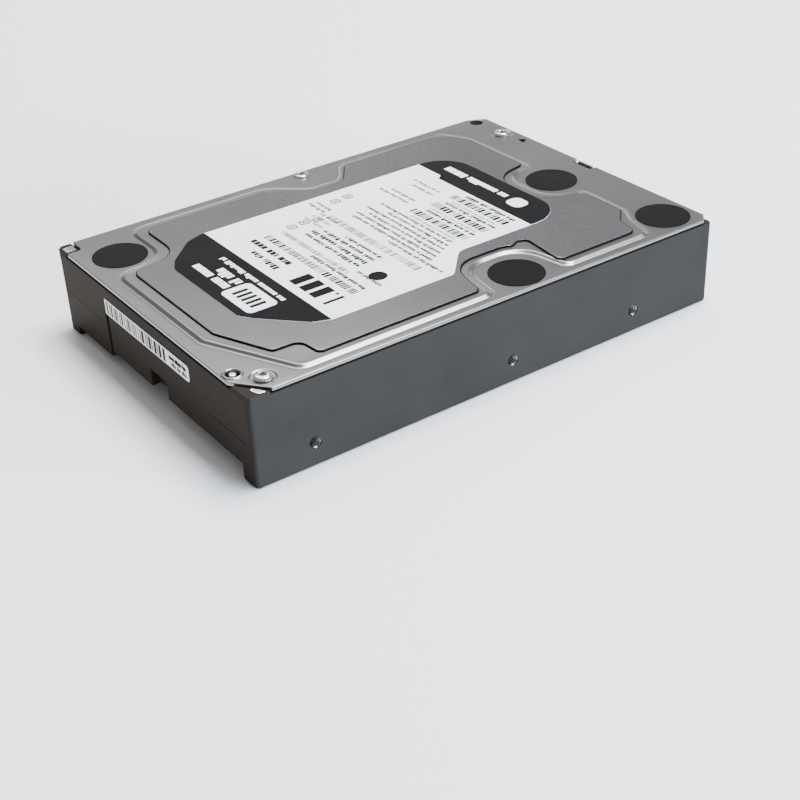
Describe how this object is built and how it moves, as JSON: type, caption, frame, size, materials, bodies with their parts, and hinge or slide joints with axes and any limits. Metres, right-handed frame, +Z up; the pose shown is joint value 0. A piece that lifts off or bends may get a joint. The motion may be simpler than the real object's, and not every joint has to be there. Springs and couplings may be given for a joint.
{
  "type": "hard disk drive",
  "caption": "3.5-inch hard disk drive: cast base, pressed cover with labels, circuit board with data and power connector, and a working disk stack, head actuator and latch inside.",
  "frame": {"origin": "bottom centre of the drive's bounding box, on the plane of the casting's bottom rails", "axes": "+X along the drive towards its connector end, +Y across to the far long side, +Z up towards the cover"},
  "size_m": [0.147, 0.1016, 0.0261],
  "materials": {
    "casting": "gloss black electrocoat over cast aluminium",
    "cover": "satin pressed aluminium",
    "plate": "satin stainless sheet",
    "gasket": "matt foam elastomer",
    "label": "printed film, white and black",
    "seal": "matt black adhesive film",
    "screw": "bright nickel plating",
    "filter": "felted fibre",
    "bearing": "ground steel",
    "bronze": "bronze bearing sleeve",
    "copper": "enamelled copper wire",
    "hub": "machined aluminium",
    "platter": "mirror polished magnetic film",
    "spacer": "machined aluminium",
    "arm": "machined aluminium",
    "suspension": "thin stainless sheet",
    "yoke": "nickel plated steel",
    "magnet": "nickel plated magnet",
    "polymer": "natural engineering plastic",
    "black_polymer": "black moulded plastic",
    "flex": "amber polyimide film",
    "board": "green solder mask",
    "chip": "black epoxy package",
    "foam": "black foam"
  },
  "bodies": {
    "enclosure": {"base_casting": "casting", "top_cover": "cover", "cover_gasket": "gasket", "damping_plate": "plate", "top_label": "label", "end_label": "label", "breather_filter": "filter", "recirculation_filter": "filter", "desiccant_pouch": "filter", "spindle_sleeve": "bronze", "spindle_stator": "copper", "pivot_shaft": "bearing", "lower_yoke": "yoke", "upper_yoke": "yoke", "lower_magnet": "magnet", "upper_magnet": "magnet", "load_ramp": "polymer", "crash_stop": "gasket", "flex_cable": "flex", "flex_connector": "black_polymer", "circuit_board": "board", "controller_chip": "chip", "motor_driver_chip": "chip", "cache_chip": "chip", "insulating_pad": "foam", "sata_connector": "black_polymer", "jumper_header": "black_polymer", "sealing_disc_1": "seal", "board_screw_1": "screw", "sealing_disc_2": "seal", "board_screw_2": "screw", "sealing_disc_3": "seal", "board_screw_3": "screw", "sealing_disc_4": "seal", "board_screw_4": "screw", "cover_screw_1": "screw", "cover_screw_2": "screw", "cover_screw_3": "screw", "cover_screw_4": "screw", "cover_screw_5": "screw", "cover_screw_6": "screw", "cover_screw_7": "screw"},
    "disk_stack": {"spindle_hub": "hub", "platter_1": "platter", "platter_2": "platter", "platter_3": "platter", "platter_spacer_1": "spacer", "platter_spacer_2": "spacer", "disk_clamp": "hub", "clamp_screw": "screw"},
    "head_actuator": {"actuator_block": "arm", "voice_coil": "copper", "pivot_sleeve": "bearing", "head_suspension_1": "suspension", "head_suspension_2": "suspension", "head_suspension_3": "suspension", "head_suspension_4": "suspension", "head_suspension_5": "suspension", "head_suspension_6": "suspension"},
    "latch": {"actuator_latch": "black_polymer"}
  },
  "joints": [
    {"name": "spindle_spin", "type": "hinge", "parent": "enclosure", "child": "disk_stack", "pos_m": [-0.0232, 0, 0.012], "axis": [0, 0, 1], "continuous": true},
    {"name": "actuator_swing", "type": "hinge", "parent": "enclosure", "child": "head_actuator", "pos_m": [0.032, -0.0158, 0.0146], "axis": [0, 0, 1], "range_deg": [0, 36.5]},
    {"name": "latch_swing", "type": "hinge", "parent": "enclosure", "child": "latch", "pos_m": [0.0245, -0.0423, 0.0146], "axis": [0, 0, 1], "range_deg": [0, 12]}
  ]
}
